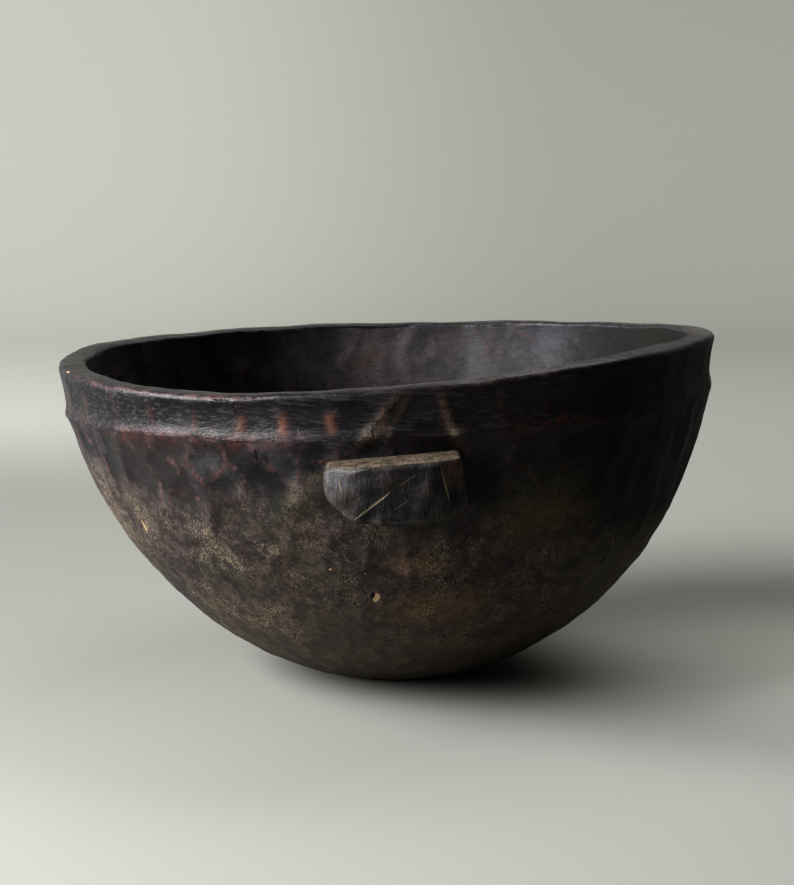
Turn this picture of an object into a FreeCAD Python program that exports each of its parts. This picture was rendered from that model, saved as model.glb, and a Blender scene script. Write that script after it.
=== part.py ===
import FreeCAD, Part
import math
import os

import Sketcher

# A deep wooden bowl carved from one block, in millimetres. +Z is up, the origin is the middle of the flat
# base, and the front grip lug looks along -Y. The four sub-parts are regions of the one block and meet
# face to face: the wall with the base, the plain band round the rim, and a grip lug front and back.

os.makedirs("parts", exist_ok=True)
doc = FreeCAD.newDocument("carved_bowl")

UP = FreeCAD.Vector(0, 0, 1)
TOUCHING = 0.5      # an edge within this distance of a plane or curve counts as lying on it

DIMENSIONS = (
    # outside of the wall: a short flat base and two tangent arcs
    ("base_radius", 40.0),
    ("outer_lower_radius", 158.0),
    ("outer_join_height", 34.5),
    ("outer_upper_radius", 197.5),
    # the hollow: two tangent arcs that leave a thick floor
    ("floor_thickness", 18.0),
    ("inner_lower_radius", 150.0),
    ("inner_join_height", 50.0),
    ("inner_upper_radius", 170.5),
    # rim: it tips up to the right and the drying wood has warped it, high at two opposite sides
    ("blank_height", 186.0),
    ("trim_reach", 205.0),
    ("trim_top", 230.0),
    ("rim_radius", 171.0),
    ("rim_height", 171.0),
    ("rim_rise", 6.8),
    ("rim_cross_rise", 1.9),
    ("rim_warp", 3.3),
    ("warp_direction", -24.0),
    ("rim_round", 2.0),
    # ledge: the band's lower edge, proud of the wall, in one tipped plane
    ("ledge_height", 147.3),
    ("ledge_rise", 7.0),
    ("ledge_step", 1.4),
    ("ledge_round", 0.8),
    # grip lug: a hand-cut block with its lower left corner cut away
    ("lug_height", 127.0),
    ("lug_offset", 1.7),
    ("lug_reach", 190.0),
    ("lug_left", 30.0),
    ("lug_right", 30.5),
    ("lug_top_left", 9.0),
    ("lug_top_right", 15.0),
    ("lug_side_bottom", 8.5),
    ("lug_bottom", 16.0),
    ("lug_corner_width", 11.0),
    ("lug_corner_rise", 11.0),
    ("lug_bevel_width", 9.0),
    ("lug_bevel_depth", 5.0),
    ("lug_round", 2.0),
)

# ---------------------------------------------------------------- driving dimensions

sheet = doc.addObject("Spreadsheet::Sheet", "dims")
for row, (alias, value) in enumerate(DIMENSIONS, start=1):
    sheet.set("A%d" % row, alias)
    sheet.set("B%d" % row, str(value))
    sheet.setAlias("B%d" % row, alias)
doc.recompute()


def dim(alias):
    """The value of one cell of the sheet."""
    return float(getattr(sheet, alias))


def vec(x, y):
    """A point in a sketch's own plane."""
    return FreeCAD.Vector(x, y, 0)


# ---------------------------------------------------------------- sketch helpers

def new_body(name):
    """An empty body, placed at the origin."""
    return doc.addObject("PartDesign::Body", name)


def upright_sketch(body, name):
    """A sketch in the body's own XZ plane: its x is the body's X and its y is the body's Z."""
    sketch = body.newObject("Sketcher::SketchObject", name)
    plane = [o for o in body.Origin.OriginFeatures if o.Role == "XZ_Plane"][0]
    sketch.AttachmentSupport = [(plane, "")]
    sketch.MapMode = "FlatFace"
    return sketch


def drive(sketch, kind, picks, formula, value):
    """Adds a dimension to a sketch and binds it to a formula on the sheet."""
    index = sketch.addConstraint(Sketcher.Constraint(kind, *picks, value))
    sketch.setExpression("Constraints[%d]" % index, formula)


def tie(sketch, kind, *picks):
    """Adds a constraint that has no size."""
    sketch.addConstraint(Sketcher.Constraint(kind, *picks))


def arc_between(centre, start, end):
    """An arc that runs anticlockwise from start to end about centre."""
    radius = (start - centre).Length
    first = math.atan2(start.y - centre.y, start.x - centre.x)
    last = math.atan2(end.y - centre.y, end.x - centre.x)
    return Part.ArcOfCircle(Part.Circle(centre, UP, radius), first, last)


def tangent_arcs(foot, centre_x, lower_radius, join_height, upper_radius, top):
    """The centres and ends of a lower arc from foot and an upper arc tangent to it, up to the height top."""
    lower = vec(centre_x, foot.y + math.sqrt(lower_radius ** 2 - (foot.x - centre_x) ** 2))
    join_x = centre_x + math.sqrt(lower_radius ** 2 - (lower.y - join_height) ** 2)
    join = vec(join_x, join_height)
    upper = join + (lower - join) * (upper_radius / lower_radius)
    end = vec(upper.x + math.sqrt(upper_radius ** 2 - (top - upper.y) ** 2), top)
    return lower, join, upper, end


def revolve(body, sketch):
    """Turns a sketch once round the body's Z axis."""
    revolution = body.newObject("PartDesign::Revolution", body.Name + "_turn")
    revolution.Profile = sketch
    revolution.ReferenceAxis = (sketch, ["V_Axis"])
    revolution.Angle = 360.0
    return body


# ---------------------------------------------------------------- solids that the sub-parts are cut from

def outer_form(name, step_formula, step):
    """The solid outside form, its whole outline moved out from the axis by step."""
    body = new_body(name)
    sketch = upright_sketch(body, name + "_outline")
    foot = vec(dim("base_radius") + step, 0)
    lower, join, upper, end = tangent_arcs(foot, step, dim("outer_lower_radius"), dim("outer_join_height"),
                                           dim("outer_upper_radius"), dim("blank_height"))
    centre_top = vec(0, dim("blank_height"))
    sketch.addGeometry(Part.LineSegment(vec(0, 0), foot))
    sketch.addGeometry(arc_between(lower, foot, join))
    sketch.addGeometry(arc_between(upper, join, end))
    sketch.addGeometry(Part.LineSegment(end, centre_top))
    sketch.addGeometry(Part.LineSegment(centre_top, vec(0, 0)))
    tie(sketch, "Coincident", 0, 1, -1, 1)
    tie(sketch, "Horizontal", 0)
    tie(sketch, "Coincident", 0, 2, 1, 1)
    tie(sketch, "Tangent", 1, 2, 2, 1)
    tie(sketch, "Coincident", 2, 2, 3, 1)
    tie(sketch, "Horizontal", 3)
    tie(sketch, "Coincident", 3, 2, 4, 1)
    tie(sketch, "Coincident", 4, 2, 0, 1)
    tie(sketch, "Vertical", 4)
    drive(sketch, "DistanceX", (0, 1, 0, 2), "dims.base_radius" + step_formula, foot.x)
    if step:
        drive(sketch, "DistanceX", (-1, 1, 1, 3), "0" + step_formula, step)
    else:
        tie(sketch, "PointOnObject", 1, 3, -2)
    drive(sketch, "Radius", (1,), "dims.outer_lower_radius", dim("outer_lower_radius"))
    drive(sketch, "DistanceY", (-1, 1, 1, 2), "dims.outer_join_height", dim("outer_join_height"))
    drive(sketch, "Radius", (2,), "dims.outer_upper_radius", dim("outer_upper_radius"))
    drive(sketch, "DistanceY", (4, 2, 4, 1), "dims.blank_height", dim("blank_height"))
    return revolve(body, sketch)


def hollow_form():
    """The solid that fills the hollow, from the floor up past the rim."""
    body = new_body("hollow_form")
    sketch = upright_sketch(body, "hollow_outline")
    foot = vec(0, dim("floor_thickness"))
    lower, join, upper, end = tangent_arcs(foot, 0, dim("inner_lower_radius"), dim("inner_join_height"),
                                           dim("inner_upper_radius"), dim("blank_height"))
    centre_top = vec(0, dim("blank_height"))
    sketch.addGeometry(arc_between(lower, foot, join))
    sketch.addGeometry(arc_between(upper, join, end))
    sketch.addGeometry(Part.LineSegment(end, centre_top))
    sketch.addGeometry(Part.LineSegment(centre_top, foot))
    tie(sketch, "PointOnObject", 0, 1, -2)
    tie(sketch, "PointOnObject", 0, 3, -2)
    tie(sketch, "Tangent", 0, 2, 1, 1)
    tie(sketch, "Coincident", 1, 2, 2, 1)
    tie(sketch, "Horizontal", 2)
    tie(sketch, "Coincident", 2, 2, 3, 1)
    tie(sketch, "Coincident", 3, 2, 0, 1)
    tie(sketch, "PointOnObject", 3, 1, -2)
    drive(sketch, "DistanceY", (-1, 1, 0, 1), "dims.floor_thickness", foot.y)
    drive(sketch, "Radius", (0,), "dims.inner_lower_radius", dim("inner_lower_radius"))
    drive(sketch, "DistanceY", (-1, 1, 0, 2), "dims.inner_join_height", dim("inner_join_height"))
    drive(sketch, "Radius", (1,), "dims.inner_upper_radius", dim("inner_upper_radius"))
    drive(sketch, "DistanceY", (-1, 1, 3, 1), "dims.blank_height", dim("blank_height"))
    return revolve(body, sketch)


def sweep_both_ways(sketch, name, direction):
    """Extrudes a document sketch by the trim reach to both sides along direction."""
    block = doc.addObject("Part::Extrusion", name)
    block.Base = sketch
    block.DirMode = "Custom"
    block.Dir = direction
    block.Solid = True
    block.setExpression("LengthFwd", "dims.trim_reach")
    block.setExpression("LengthRev", "dims.trim_reach")
    return block


def lid_sketch(name, left, right, arc_radius, turn):
    """The outline of all that lies above a lower edge, upright and turned about Z.

    left and right are the formula and the value of the height of the two ends of the lower edge. The edge
    is straight, or sags as an arc when arc_radius gives a formula and a value.
    """
    sketch = doc.addObject("Sketcher::SketchObject", name)
    upright = FreeCAD.Rotation(FreeCAD.Vector(1, 0, 0), 90)
    sketch.Placement = FreeCAD.Placement(FreeCAD.Vector(), FreeCAD.Rotation(UP, turn) * upright)
    reach = dim("trim_reach")
    low_left = vec(-reach, left[1])
    low_right = vec(reach, right[1])
    top_left = vec(-reach, dim("trim_top"))
    top_right = vec(reach, dim("trim_top"))
    if arc_radius:
        chord = low_right - low_left
        across = FreeCAD.Vector(-chord.y, chord.x, 0).normalize()
        centre_height = math.sqrt(arc_radius[1] ** 2 - (chord.Length / 2) ** 2)
        centre = (low_left + low_right) * 0.5 + across * centre_height
        sketch.addGeometry(arc_between(centre, low_left, low_right))
    else:
        sketch.addGeometry(Part.LineSegment(low_left, low_right))
    sketch.addGeometry(Part.LineSegment(low_right, top_right))
    sketch.addGeometry(Part.LineSegment(top_right, top_left))
    sketch.addGeometry(Part.LineSegment(top_left, low_left))
    for side in range(4):
        tie(sketch, "Coincident", side, 2, (side + 1) % 4, 1)
    tie(sketch, "Vertical", 1)
    tie(sketch, "Horizontal", 2)
    tie(sketch, "Vertical", 3)
    drive(sketch, "DistanceX", (0, 1, -1, 1), "dims.trim_reach", reach)
    drive(sketch, "DistanceX", (-1, 1, 0, 2), "dims.trim_reach", reach)
    drive(sketch, "DistanceY", (-1, 1, 0, 1), left[0], left[1])
    drive(sketch, "DistanceY", (-1, 1, 0, 2), right[0], right[1])
    drive(sketch, "DistanceY", (-1, 1, 1, 2), "dims.trim_top", dim("trim_top"))
    if arc_radius:
        drive(sketch, "Radius", (0,), arc_radius[0], arc_radius[1])
    return sketch


def above_ledge():
    """All that lies above the ledge's tipped plane, which rises to the right."""
    slope = "dims.ledge_rise * dims.trim_reach / dims.rim_radius"
    rise = dim("ledge_rise") * dim("trim_reach") / dim("rim_radius")
    left = ("dims.ledge_height - " + slope, dim("ledge_height") - rise)
    right = ("dims.ledge_height + " + slope, dim("ledge_height") + rise)
    sketch = lid_sketch("ledge_edge", left, right, None, 0)
    return sweep_both_ways(sketch, "above_ledge", FreeCAD.Vector(0, 1, 0))


def above_rim():
    """All that lies above the rim's top face: tipped to the right, and sagging across the warp."""
    turn = dim("warp_direction")
    part_way = dim("trim_reach") / dim("rim_radius")
    sag_formula = "dims.rim_warp * (2 * (dims.trim_reach / dims.rim_radius) ^ 2 - 1)"
    sag = dim("rim_warp") * (2 * part_way ** 2 - 1)
    slope = "dims.rim_rise * dims.trim_reach / dims.rim_radius"
    rise = dim("rim_rise") * part_way
    left = ("dims.rim_height + " + sag_formula + " - " + slope, dim("rim_height") + sag - rise)
    right = ("dims.rim_height + " + sag_formula + " + " + slope, dim("rim_height") + sag + rise)
    arc = ("dims.rim_radius ^ 2 / (4 * dims.rim_warp)", dim("rim_radius") ** 2 / (4 * dim("rim_warp")))
    sketch = lid_sketch("rim_edge", left, right, arc, turn)
    across = FreeCAD.Vector(-math.sin(math.radians(turn)), math.cos(math.radians(turn)),
                            dim("rim_cross_rise") / dim("rim_radius"))
    return sweep_both_ways(sketch, "above_rim", across)


def cut(name, base, tool):
    """base with tool taken away."""
    result = doc.addObject("Part::Cut", name)
    result.Base = base
    result.Tool = tool
    return result


def keep_common(name, base, tool):
    """The part of base that lies in tool."""
    result = doc.addObject("Part::Common", name)
    result.Base = base
    result.Tool = tool
    return result


# ---------------------------------------------------------------- sub-parts

def bowl_wall(wall_form, hollow, ledge_lid):
    """The base, floor and wall, up to the ledge."""
    below_ledge = cut("below_ledge", wall_form, ledge_lid)
    return cut("bowl_wall", below_ledge, hollow)


def rim_band(hollow, ledge_lid, rim_lid):
    """The plain band, from the ledge up to the warped rim, with its worn edges rounded."""
    band_form = outer_form("band_form", " + dims.ledge_step", dim("ledge_step"))
    over_ledge = keep_common("over_ledge", band_form, ledge_lid)
    under_rim = cut("under_rim", over_ledge, rim_lid)
    ring = cut("band_ring", under_rim, hollow)
    doc.recompute()
    rounded = doc.addObject("Part::Fillet", "rim_band")
    rounded.Base = ring
    rounded.Edges = band_edges_to_round(ring.Shape)
    return rounded


def band_edges_to_round(shape):
    """Edge numbers with their radii: both edges of the rim's top, and the outer edge of the ledge."""
    inner_limit = (dim("rim_radius") - dim("ledge_step")) * 0.97
    edges = []
    for number, edge in enumerate(shape.Edges, start=1):
        middle = edge.valueAt((edge.FirstParameter + edge.LastParameter) / 2)
        from_axis = math.hypot(middle.x, middle.y)
        ledge_here = dim("ledge_height") + dim("ledge_rise") * middle.x / dim("rim_radius")
        if joins_rim_and_ledge(edge):
            continue
        if abs(middle.z - ledge_here) > TOUCHING:
            edges.append((number, dim("rim_round"), dim("rim_round")))
        elif from_axis > inner_limit:
            edges.append((number, dim("ledge_round"), dim("ledge_round")))
    return edges


def joins_rim_and_ledge(edge):
    """True for the short steep lines where a turned face closes on itself."""
    ends = [vertex.Point for vertex in edge.Vertexes]
    drop = abs(ends[0].z - ends[-1].z)
    across = math.hypot(ends[0].x - ends[-1].x, ends[0].y - ends[-1].y)
    return drop > across + TOUCHING


def front_end_edges(shape):
    """Names of the two upright edges at the ends of the lug's face."""
    face_side = shape.BoundBox.YMin + TOUCHING
    names = []
    for number, edge in enumerate(shape.Edges, start=1):
        box = edge.BoundBox
        upright = box.XLength < TOUCHING < box.ZLength
        if upright and box.YMax < face_side:
            names.append("Edge%d" % number)
    return names


def edges_off_the_back(shape):
    """Names of all the edges that aren't on the back end of the block, deep inside the wall."""
    back = shape.BoundBox.YMax - TOUCHING
    numbers = [number for number, edge in enumerate(shape.Edges, start=1) if edge.BoundBox.YMin < back]
    return ["Edge%d" % number for number in numbers]


def lug_block(name):
    """The grip lug before the wall is taken out of it: a pad from the bowl's middle to the lug's face."""
    body = new_body(name)
    sketch = upright_sketch(body, name + "_outline")
    left, right = dim("lug_left"), dim("lug_right")
    low = dim("lug_bottom")
    corners = [
        vec(-left, dim("lug_top_left")),
        vec(-left, -low + dim("lug_corner_rise")),
        vec(-left + dim("lug_corner_width"), -low),
        vec(0, -low),
        vec(right, -dim("lug_side_bottom")),
        vec(right, dim("lug_top_right")),
    ]
    count = len(corners)
    for side in range(count):
        sketch.addGeometry(Part.LineSegment(corners[side], corners[(side + 1) % count]))
    for side in range(count):
        tie(sketch, "Coincident", side, 2, (side + 1) % count, 1)
    tie(sketch, "Vertical", 0)
    tie(sketch, "Horizontal", 2)
    tie(sketch, "PointOnObject", 2, 2, -2)
    tie(sketch, "Vertical", 4)
    drive(sketch, "DistanceX", (0, 1, -1, 1), "dims.lug_left", left)
    drive(sketch, "DistanceY", (-1, 1, 0, 1), "dims.lug_top_left", dim("lug_top_left"))
    drive(sketch, "DistanceX", (0, 2, 1, 2), "dims.lug_corner_width", dim("lug_corner_width"))
    drive(sketch, "DistanceY", (1, 2, 0, 2), "dims.lug_corner_rise", dim("lug_corner_rise"))
    drive(sketch, "DistanceY", (2, 2, -1, 1), "dims.lug_bottom", low)
    drive(sketch, "DistanceX", (-1, 1, 4, 2), "dims.lug_right", right)
    drive(sketch, "DistanceY", (4, 1, -1, 1), "dims.lug_side_bottom", dim("lug_side_bottom"))
    drive(sketch, "DistanceY", (-1, 1, 4, 2), "dims.lug_top_right", dim("lug_top_right"))
    pad = body.newObject("PartDesign::Pad", name + "_pad")
    pad.Profile = sketch
    pad.setExpression("Length", "dims.lug_reach")
    doc.recompute()
    bevel = body.newObject("PartDesign::Chamfer", name + "_bevel")
    bevel.Base = (pad, front_end_edges(pad.Shape))
    bevel.ChamferType = "Two distances"
    bevel.setExpression("Size", "dims.lug_bevel_width")
    bevel.setExpression("Size2", "dims.lug_bevel_depth")
    doc.recompute()
    worn = body.newObject("PartDesign::Fillet", name + "_worn")
    worn.Base = (bevel, edges_off_the_back(bevel.Shape))
    worn.setExpression("Radius", "dims.lug_round")
    body.setExpression("Placement.Base.z", "dims.lug_height")
    return body


def grip_lug(name, wall_form, turn):
    """A grip lug that stands on the outside of the wall, turned about Z by turn degrees."""
    block = lug_block(name + "_block")
    block.Placement.Rotation = FreeCAD.Rotation(UP, turn)
    toward = 1 if turn == 0 else -1
    block.setExpression("Placement.Base.x", "dims.lug_offset * %d" % toward)
    return cut(name, block, wall_form)


wall_form = outer_form("wall_form", "", 0)
hollow = hollow_form()
ledge_lid = above_ledge()
rim_lid = above_rim()
doc.recompute()

sub_parts = [
    bowl_wall(wall_form, hollow, ledge_lid),
    rim_band(hollow, ledge_lid, rim_lid),
    grip_lug("front_lug", wall_form, 0),
    grip_lug("rear_lug", wall_form, 180),
]
doc.recompute()

# ---------------------------------------------------------------- checks and export

for item in doc.Objects:
    if "Invalid" in item.State or "Error" in item.State:
        raise RuntimeError("%s failed: %s" % (item.Name, item.State))

for piece in sub_parts:
    piece.Label = piece.Name
    if piece.Shape.isNull() or not piece.Shape.isValid():
        raise RuntimeError("%s has no valid shape" % piece.Label)
    if len(piece.Shape.Solids) != 1:
        raise RuntimeError("%s is %d solids" % (piece.Label, len(piece.Shape.Solids)))

for piece in sub_parts:
    box = piece.Shape.optimalBoundingBox(False)
    print("%s: %.0f mm3, x %.1f..%.1f, y %.1f..%.1f, z %.1f..%.1f" % (
        piece.Label, piece.Shape.Volume, box.XMin, box.XMax, box.YMin, box.YMax, box.ZMin, box.ZMax))
    piece.Shape.exportStep("parts/%s.step" % piece.Label)
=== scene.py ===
import functools
import math

import bpy
import numpy as np
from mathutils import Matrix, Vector


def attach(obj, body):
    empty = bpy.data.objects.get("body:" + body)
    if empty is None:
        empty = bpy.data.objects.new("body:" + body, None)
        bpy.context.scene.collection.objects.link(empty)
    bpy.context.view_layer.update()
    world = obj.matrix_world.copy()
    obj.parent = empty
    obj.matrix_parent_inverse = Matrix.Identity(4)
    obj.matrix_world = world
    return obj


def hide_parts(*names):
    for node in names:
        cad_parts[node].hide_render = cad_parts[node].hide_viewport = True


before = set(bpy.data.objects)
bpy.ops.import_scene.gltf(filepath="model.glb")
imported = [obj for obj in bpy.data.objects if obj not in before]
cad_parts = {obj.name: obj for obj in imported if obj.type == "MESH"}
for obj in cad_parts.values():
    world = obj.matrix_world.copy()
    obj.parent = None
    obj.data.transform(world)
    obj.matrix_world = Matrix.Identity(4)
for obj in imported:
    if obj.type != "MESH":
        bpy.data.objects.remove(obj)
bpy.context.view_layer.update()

# A deep bowl carved from one block of wood. Lengths in this script are millimetres until a mesh is made.
# Angles are degrees round +Z from +X, so the front of the bowl, which faces -Y, is at -90.
MM = 0.001

# ------------------------------------------------------------------------------------------ main sizes

OUTER_RADIUS = 171.6        # half width of the ellipse that the outside follows
OUTER_DEPTH = 191.9         # its half height
INNER_RADIUS = 158.0        # the same for the hollow
INNER_DEPTH = 168.6
EQUATOR = 186.6             # height of both ellipses' centre
BASE_RADIUS = 40.0
RIM_HEIGHT = 171.1
LEDGE_HEIGHT = 147.3
LEDGE_RISE = 7.0
SEGMENTS = 600              # points round the bowl
RIM_OUTER_ROUND = 2.6       # rounding of the rim's two edges
RIM_INNER_ROUND = 2.2
OUTSIDE_ARC = 182           # mean radii of the two curves, which turn an angle into a length along them
HOLLOW_ARC = 163

LUG_FACE = 188.5            # distance of the lug's face from the axis
LUG_HEIGHT = 127.0
LUG_OFFSET = 1.7
LUG_ROOT = 157              # where the lug's mesh starts, inside the wall
LUG_EDGE_ROUND = 2.2

ARRIS_DEPTH = 0.13          # an arris counts as worn within about this depth


# ------------------------------------------------------------------------------------------ small tools

def smooth(low, high, value):
    """0 below low, 1 above high, and a smooth step between."""
    part = np.clip((value - low) / (high - low), 0, 1)
    return part * part * (3 - 2 * part)


def soft_ramp(value, width):
    """0 below 0 and value above it, with the corner rounded over about width."""
    return width * np.log1p(np.exp(np.clip(value / width, -30, 30)))


def bump(value, width):
    """A bell of height 1 and half width about width."""
    return np.exp(-(value / width) ** 2)


def turn_gap(angle, centre):
    """The signed angle from centre to angle, in radians, by the short way round."""
    return (angle - centre + math.pi) % (2 * math.pi) - math.pi


def waves(seed, length, count=14):
    """A smooth random field over points in space, with features about length long and a spread of about 1."""
    rng = np.random.default_rng(seed)
    direction = rng.normal(size=(count, 3))
    direction /= np.linalg.norm(direction, axis=1)[:, None]
    number = 2 * math.pi / (length * rng.uniform(0.7, 1.6, count))
    phase = rng.uniform(0, 2 * math.pi, count)

    def field(points):
        total = np.zeros(points.shape[:-1])
        for way, rate, start in zip(direction, number, phase):
            total += np.cos(points @ way * rate + start)
        return total * math.sqrt(2 / count)

    return field


# ------------------------------------------------------------------------------------------ bowl shape

def rim_height(angle):
    """Height of the rim, which tips up to the right and is warped."""
    return (RIM_HEIGHT + 7.0 * np.cos(angle) - 1.0 * np.sin(angle)
            + 2.2 * np.cos(2 * angle) - 2.4 * np.sin(2 * angle)
            - 0.4 * np.cos(3 * angle) - 0.3 * np.sin(3 * angle)
            + 0.25 * np.sin(7 * angle + 0.6) + 0.18 * np.sin(17 * angle + 2.0))


def ledge_height(angle):
    """Height of the ledge, the band's lower edge, which wanders a little."""
    return (LEDGE_HEIGHT + LEDGE_RISE * np.cos(angle)
            + 0.7 * np.sin(5 * angle + 1.0) + 0.45 * np.sin(11 * angle + 0.4) + 0.25 * np.sin(23 * angle))


def ellipse_radius(half_width, half_height, height):
    """Radius of an upright ellipse of revolution at a height."""
    return half_width * np.sqrt(np.clip(1 - ((EQUATOR - height) / half_height) ** 2, 0, 1))


def place(radius, angle, height):
    """A point of the bowl: it is slightly oval towards the rim, and leans a little to the left."""
    share = height / RIM_HEIGHT
    oval = 1 + share ** 2 * (0.003 * np.cos(2 * angle) + 0.0168 * np.sin(2 * angle))
    x = radius * oval * np.cos(angle) + 1.35 * (1 - share) - 1.95 * share
    y = radius * oval * np.sin(angle)
    return np.stack([x, y, height + 0 * x], axis=-1)


class Cuts:
    """Many shallow tool cuts. The surface left is the deepest of them, with an arris where two meet."""

    def __init__(self, seed, tool_radius, wobble):
        self.rng = np.random.default_rng(seed)
        self.tool_radius = tool_radius
        self.items = []
        self.wobble = wobble
        self.shift_across = waves(seed + 1, 22)
        self.shift_along = waves(seed + 2, 26)

    def add_row(self, along, width, length, radius, wanted=None):
        """A ring of cuts. wanted says for which angles a cut is made."""
        rng = self.rng
        count = max(5, round(2 * math.pi * radius / width))
        start = rng.uniform(0, 2 * math.pi)
        for step in range(count):
            angle = start + 2 * math.pi * (step + 0.2 * rng.normal()) / count
            cut = (angle, along + 0.14 * length * rng.normal(), 0.5 * width * rng.uniform(0.85, 1.2),
                   0.5 * length * rng.uniform(0.85, 1.25), 0.16 * rng.normal(), rng.uniform(-0.2, 0.2),
                   rng.uniform(0, 1))
            if wanted is None or wanted(angle):
                self.items.append(cut)

    def carve(self, points, angle, along):
        """Depth of the cuts, how near each point is to an arris, and a random tone for each cut."""
        radius = np.hypot(points[..., 0], points[..., 1])
        across_shift = self.wobble * self.shift_across(points)
        along_shift = self.wobble * self.shift_along(points)
        first = np.full(angle.shape, -1e3)
        second = np.full(angle.shape, -1e3)
        tone = np.zeros(angle.shape)
        for centre, middle, half_width, half_length, depth, slant, own_tone in self.items:
            fall = half_width ** 2 / (2 * self.tool_radius)
            up = along - middle + along_shift
            side = turn_gap(angle, centre) * radius + across_shift + slant * up
            height = fall * (1 + depth - (side / half_width) ** 2 - (up / half_length) ** 2)
            second = np.maximum(second, np.minimum(first, height))
            tone = np.where(height > first, own_tone, tone)
            first = np.maximum(first, height)
        return first, np.exp(-(first - second) / ARRIS_DEPTH), tone


# ------------------------------------------------------------------------------------------ grids to meshes

class Shell:
    """A closed ring-by-ring surface of revolution: rings of points, with values kept at each point."""

    def __init__(self):
        self.rings = []
        self.values = {}

    def add(self, points, **values):
        """Adds rings. points is rings by segments by 3, and each value has one number per point."""
        count = sum(len(block) for block in self.rings)
        self.rings.append(points)
        for name, value in values.items():
            self.values.setdefault(name, []).append((count, np.broadcast_to(value, points.shape[:2])))

    def total(self):
        return sum(len(block) for block in self.rings)

    def channel(self, name):
        """One value over all the rings, 0 where it was never given."""
        whole = np.zeros((self.total(), self.rings[0].shape[1]))
        for start, value in self.values[name]:
            whole[start:start + len(value)] = value
        return whole


def ring_faces(ring_count, segments, closed):
    """Quads between neighbouring rings, and from the last ring to the first when closed."""
    rows = np.arange(ring_count if closed else ring_count - 1)
    columns = np.arange(segments)
    row, column = np.meshgrid(rows, columns, indexing="ij")
    next_row = (row + 1) % ring_count
    next_column = (column + 1) % segments
    quads = np.stack([row * segments + column, row * segments + next_column,
                      next_row * segments + next_column, next_row * segments + column], axis=-1)
    return quads.reshape(-1, 4)


def make_piece(name, shell, closed, sharp_rings, materials, face_slot=None):
    """Makes a mesh object from a shell. An open shell's two end rings are closed by fans."""
    points = np.concatenate(shell.rings)
    ring_count, segments = points.shape[:2]
    flat = points.reshape(-1, 3)
    quads = ring_faces(ring_count, segments, closed)
    faces = quads.tolist()
    extra = []
    if not closed:
        for ring, flip in ((0, True), (ring_count - 1, False)):
            extra.append(flat[ring * segments:(ring + 1) * segments].mean(axis=0))
            hub = len(flat) + len(extra) - 1
            for column in range(segments):
                a = ring * segments + column
                b = ring * segments + (column + 1) % segments
                faces.append([b, a, hub] if flip else [a, b, hub])
    if extra:
        flat = np.concatenate([flat, np.array(extra)])
    mesh = bpy.data.meshes.new(name)
    mesh.from_pydata((flat * MM).tolist(), [], faces)
    mesh.update()
    for value_name in shell.values:
        channel = shell.channel(value_name).reshape(-1)
        padded = np.concatenate([channel, np.full(len(extra), channel[-1])])
        layer = mesh.attributes.new(value_name, "FLOAT", "POINT")
        layer.data.foreach_set("value", padded.astype(np.float32))
    mark_sharp(mesh, sharp_rings, segments)
    mesh.polygons.foreach_set("use_smooth", np.ones(len(mesh.polygons), dtype=bool))
    for material in materials:
        mesh.materials.append(material)
    if face_slot is not None:
        slots = np.zeros(len(mesh.polygons), dtype=np.int32)
        slots[:len(quads)] = face_slot(np.arange(len(quads)) // segments)
        mesh.polygons.foreach_set("material_index", slots)
    mesh.validate()
    piece = bpy.data.objects.new(name, mesh)
    bpy.context.scene.collection.objects.link(piece)
    return piece


def mark_sharp(mesh, rings, segments):
    """Marks the edges that run along the given rings as sharp."""
    pairs = np.empty(len(mesh.edges) * 2, dtype=np.int32)
    mesh.edges.foreach_get("vertices", pairs)
    ring_of = (pairs // segments).reshape(-1, 2)
    sharp = np.zeros(len(mesh.edges), dtype=bool)
    for ring in rings:
        sharp |= (ring_of[:, 0] == ring) & (ring_of[:, 1] == ring)
    layer = mesh.attributes.new("sharp_edge", "BOOLEAN", "EDGE")
    layer.data.foreach_set("value", sharp)


# ------------------------------------------------------------------------------------------ carved surfaces

ANGLES = np.arange(SEGMENTS) * 2 * math.pi / SEGMENTS

# Arrises of the band's flat cuts: those with a clear worn strip, as angle and strength of the strip.
WORN_ARRISES = ((-98.7, 1.0), (-106.3, 0.9), (-113.4, 0.8), (-121.7, 0.12), (-130.3, 0.25), (-139.5, 0.12))
BAND_CUT_TURN = 8.2


def band_arrises():
    """All arrises round the band: the worn ones, and the rest in uneven steps."""
    rng = np.random.default_rng(41)
    arrises = list(WORN_ARRISES)
    angle = -98.7 + BAND_CUT_TURN
    while angle < 360 - 139.5 - 0.6 * BAND_CUT_TURN:
        arrises.append((angle, rng.uniform(0.0, 0.16)))
        angle += BAND_CUT_TURN * rng.uniform(0.75, 1.25)
    return sorted((math.radians(a) % (2 * math.pi), strength) for a, strength in arrises)


BAND_ARRISES = band_arrises()


def at_front_or_back(angle):
    """Where the cuts under the ledge are short scallops."""
    return abs(math.sin(angle)) > 0.62


def at_the_sides(angle):
    """Where the cuts are long and run up and down."""
    return not at_front_or_back(angle)


def wall_cutting():
    """Scallops and long cuts high on the wall, and small cuts in brick order low down."""
    cuts = Cuts(7, 62, 1.4)
    for along, radius in ((200, 167), (181, 165), (161, 161), (141, 154)):
        cuts.add_row(along, 20, 25, radius, at_front_or_back)
    for along, radius in ((190, 166), (120, 141)):
        cuts.add_row(along, 15, 95, radius, at_the_sides)
    for along in range(0, 132, 12):
        cuts.add_row(along, 12.5, 15.5, 40 + 0.88 * along, None if along < 110 else at_front_or_back)
    return cuts


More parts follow.
